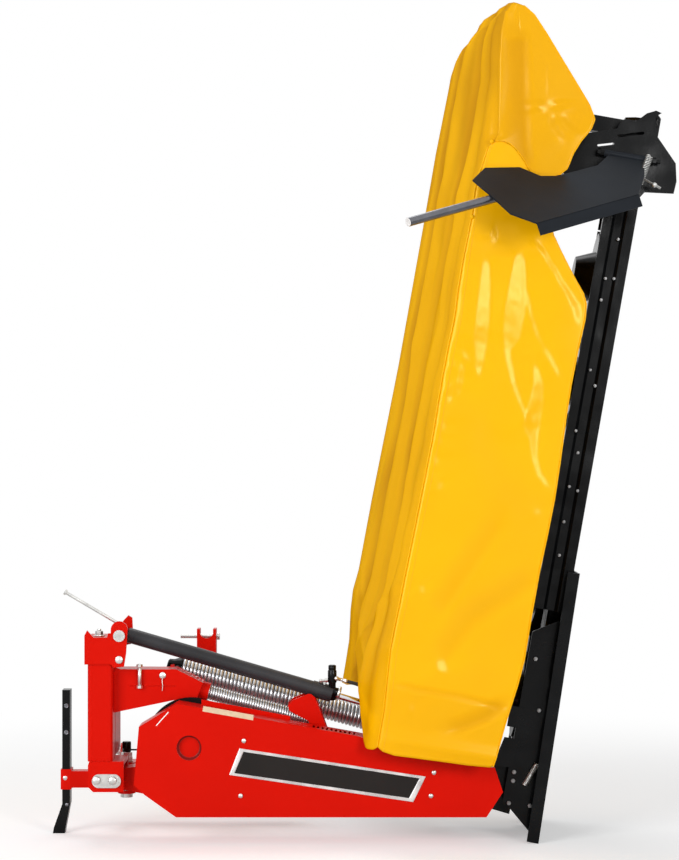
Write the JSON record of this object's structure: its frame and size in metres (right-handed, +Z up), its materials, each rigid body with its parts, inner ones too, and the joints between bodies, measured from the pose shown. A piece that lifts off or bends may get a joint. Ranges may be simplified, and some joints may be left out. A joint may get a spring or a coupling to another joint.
{
  "type": "disc mower",
  "caption": "Three-point disc mower folded upright for transport, with a belt guard, lift cylinder, balance springs, covered cutterbar and parking stand.",
  "frame": {"origin": "centre of the bounding box of the machine, on the ground", "axes": "+X to the right of the tractor, the side that the cutterbar works on; +Y forwards, towards the tractor; +Z up"},
  "size_m": [2.3841, 1.511, 3.1069],
  "materials": {
    "red_paint": "glossy red enamel",
    "black_paint": "satin black enamel",
    "zinc_steel": "zinc plated",
    "spring_steel": "zinc plated wire",
    "bright_rod": "hard chrome",
    "yellow_cover": "glossy coated cloth"
  },
  "bodies": {
    "frame": {"break_back_tube": "red_paint", "cap_bracket": "red_paint", "carrier_arm": "red_paint", "column": "red_paint", "column_base": "red_paint", "cylinder_pin": "zinc_steel", "far_spring": "spring_steel", "float_pin": "zinc_steel", "guard_back": "red_paint", "guard_cover": "red_paint", "input_bearing": "red_paint", "latch_rod": "zinc_steel", "near_spring": "spring_steel", "pto_shield": "black_paint", "spring_brackets": "red_paint", "stand_socket": "red_paint", "upper_arm": "red_paint"},
    "headstock": {"hitch_beam": "red_paint", "mast": "red_paint", "top_link_pin": "zinc_steel", "lower_pin_left": "zinc_steel", "lower_pin_right": "zinc_steel", "break_back_pin": "zinc_steel"},
    "stand": {"parking_stand": "black_paint"},
    "barrel": {"lift_barrel": "black_paint"},
    "rod": {"lift_rod": "bright_rod"},
    "pto": {"pto_shaft": "zinc_steel"},
    "board": {"swath_board": "black_paint", "swath_stick": "zinc_steel"},
    "bar": {"hinge_fork": "black_paint", "bevel_gearbox": "black_paint", "cutterbar": "black_paint", "disc_skids": "black_paint", "rear_rail": "black_paint", "inner_shoe": "black_paint", "inner_plate": "black_paint", "outer_shoe": "black_paint", "cover_top": "yellow_cover", "cover_curtain": "yellow_cover", "cover_end": "yellow_cover", "canopy_rails": "black_paint", "canopy_crossbars": "black_paint", "outer_post": "black_paint", "inner_post": "black_paint", "board_bracket": "black_paint", "board_pin": "black_paint"},
    "disc_1": {"disc_1": "black_paint"},
    "disc_2": {"disc_2": "black_paint"},
    "disc_3": {"disc_3": "black_paint"},
    "disc_4": {"disc_4": "black_paint"},
    "disc_5": {"disc_5": "black_paint"},
    "disc_6": {"disc_6": "black_paint"}
  },
  "joints": [
    {"name": "break_back", "type": "hinge", "parent": "frame", "child": "headstock", "pos_m": [-0.915, 0.1244, 0.2], "axis": [0, 0, 1], "range_deg": [0, 30]},
    {"name": "stand_slide", "type": "slide", "parent": "frame", "child": "stand", "axis": [0, 0, 1], "range_m": [0, 0.05]},
    {"name": "fold", "type": "hinge", "parent": "frame", "child": "bar", "pos_m": [0.363, -0.0756, 0.21678], "axis": [0, 1, 0], "range_deg": [0, 95]},
    {"name": "barrel_swing", "type": "hinge", "parent": "frame", "child": "barrel", "pos_m": [-0.915, -0.0756, 0.779], "axis": [0, 1, 0], "range_deg": [0, 1.59]},
    {"name": "rod_slide", "type": "slide", "parent": "barrel", "child": "rod", "axis": [0.9603, 0, -0.279], "range_m": [0, 0.35487]},
    {"name": "pto_spin", "type": "hinge", "parent": "frame", "child": "pto", "pos_m": [-0.645, -0.0456, 0.364], "axis": [0, 1, 0], "continuous": true},
    {"name": "board_swing", "type": "hinge", "parent": "bar", "child": "board", "pos_m": [1.01494, -0.2506, 2.58962], "axis": [-0.9848, 0, 0.1736], "range_deg": [0, 20], "stiffness_Nm_per_rad": 40, "springref_deg": -17.19},
    {"name": "disc_1_spin", "type": "hinge", "parent": "bar", "child": "disc_1", "pos_m": [0.62566, 0.1044, 0.52587], "axis": [-0.9848, 0, 0.1736], "continuous": true},
    {"name": "disc_2_spin", "type": "hinge", "parent": "bar", "child": "disc_2", "pos_m": [0.69773, 0.1044, 0.93456], "axis": [-0.9848, 0, 0.1736], "continuous": true},
    {"name": "disc_3_spin", "type": "hinge", "parent": "bar", "child": "disc_3", "pos_m": [0.76979, 0.1044, 1.34326], "axis": [-0.9848, 0, 0.1736], "continuous": true},
    {"name": "disc_4_spin", "type": "hinge", "parent": "bar", "child": "disc_4", "pos_m": [0.84185, 0.1044, 1.75195], "axis": [-0.9848, 0, 0.1736], "continuous": true},
    {"name": "disc_5_spin", "type": "hinge", "parent": "bar", "child": "disc_5", "pos_m": [0.91392, 0.1044, 2.16065], "axis": [-0.9848, 0, 0.1736], "continuous": true},
    {"name": "disc_6_spin", "type": "hinge", "parent": "bar", "child": "disc_6", "pos_m": [0.98598, 0.1044, 2.56934], "axis": [-0.9848, 0, 0.1736], "continuous": true}
  ],
  "couplings": [
    {"joint": "barrel_swing", "follows": "fold", "ratio": 0.016231},
    {"joint": "rod_slide", "follows": "fold", "m_per_rad": 0.21372},
    {"joint": "disc_2_spin", "follows": "disc_1_spin", "ratio": -1},
    {"joint": "disc_3_spin", "follows": "disc_1_spin", "ratio": 1},
    {"joint": "disc_4_spin", "follows": "disc_1_spin", "ratio": -1},
    {"joint": "disc_5_spin", "follows": "disc_1_spin", "ratio": 1},
    {"joint": "disc_6_spin", "follows": "disc_1_spin", "ratio": -1}
  ]
}
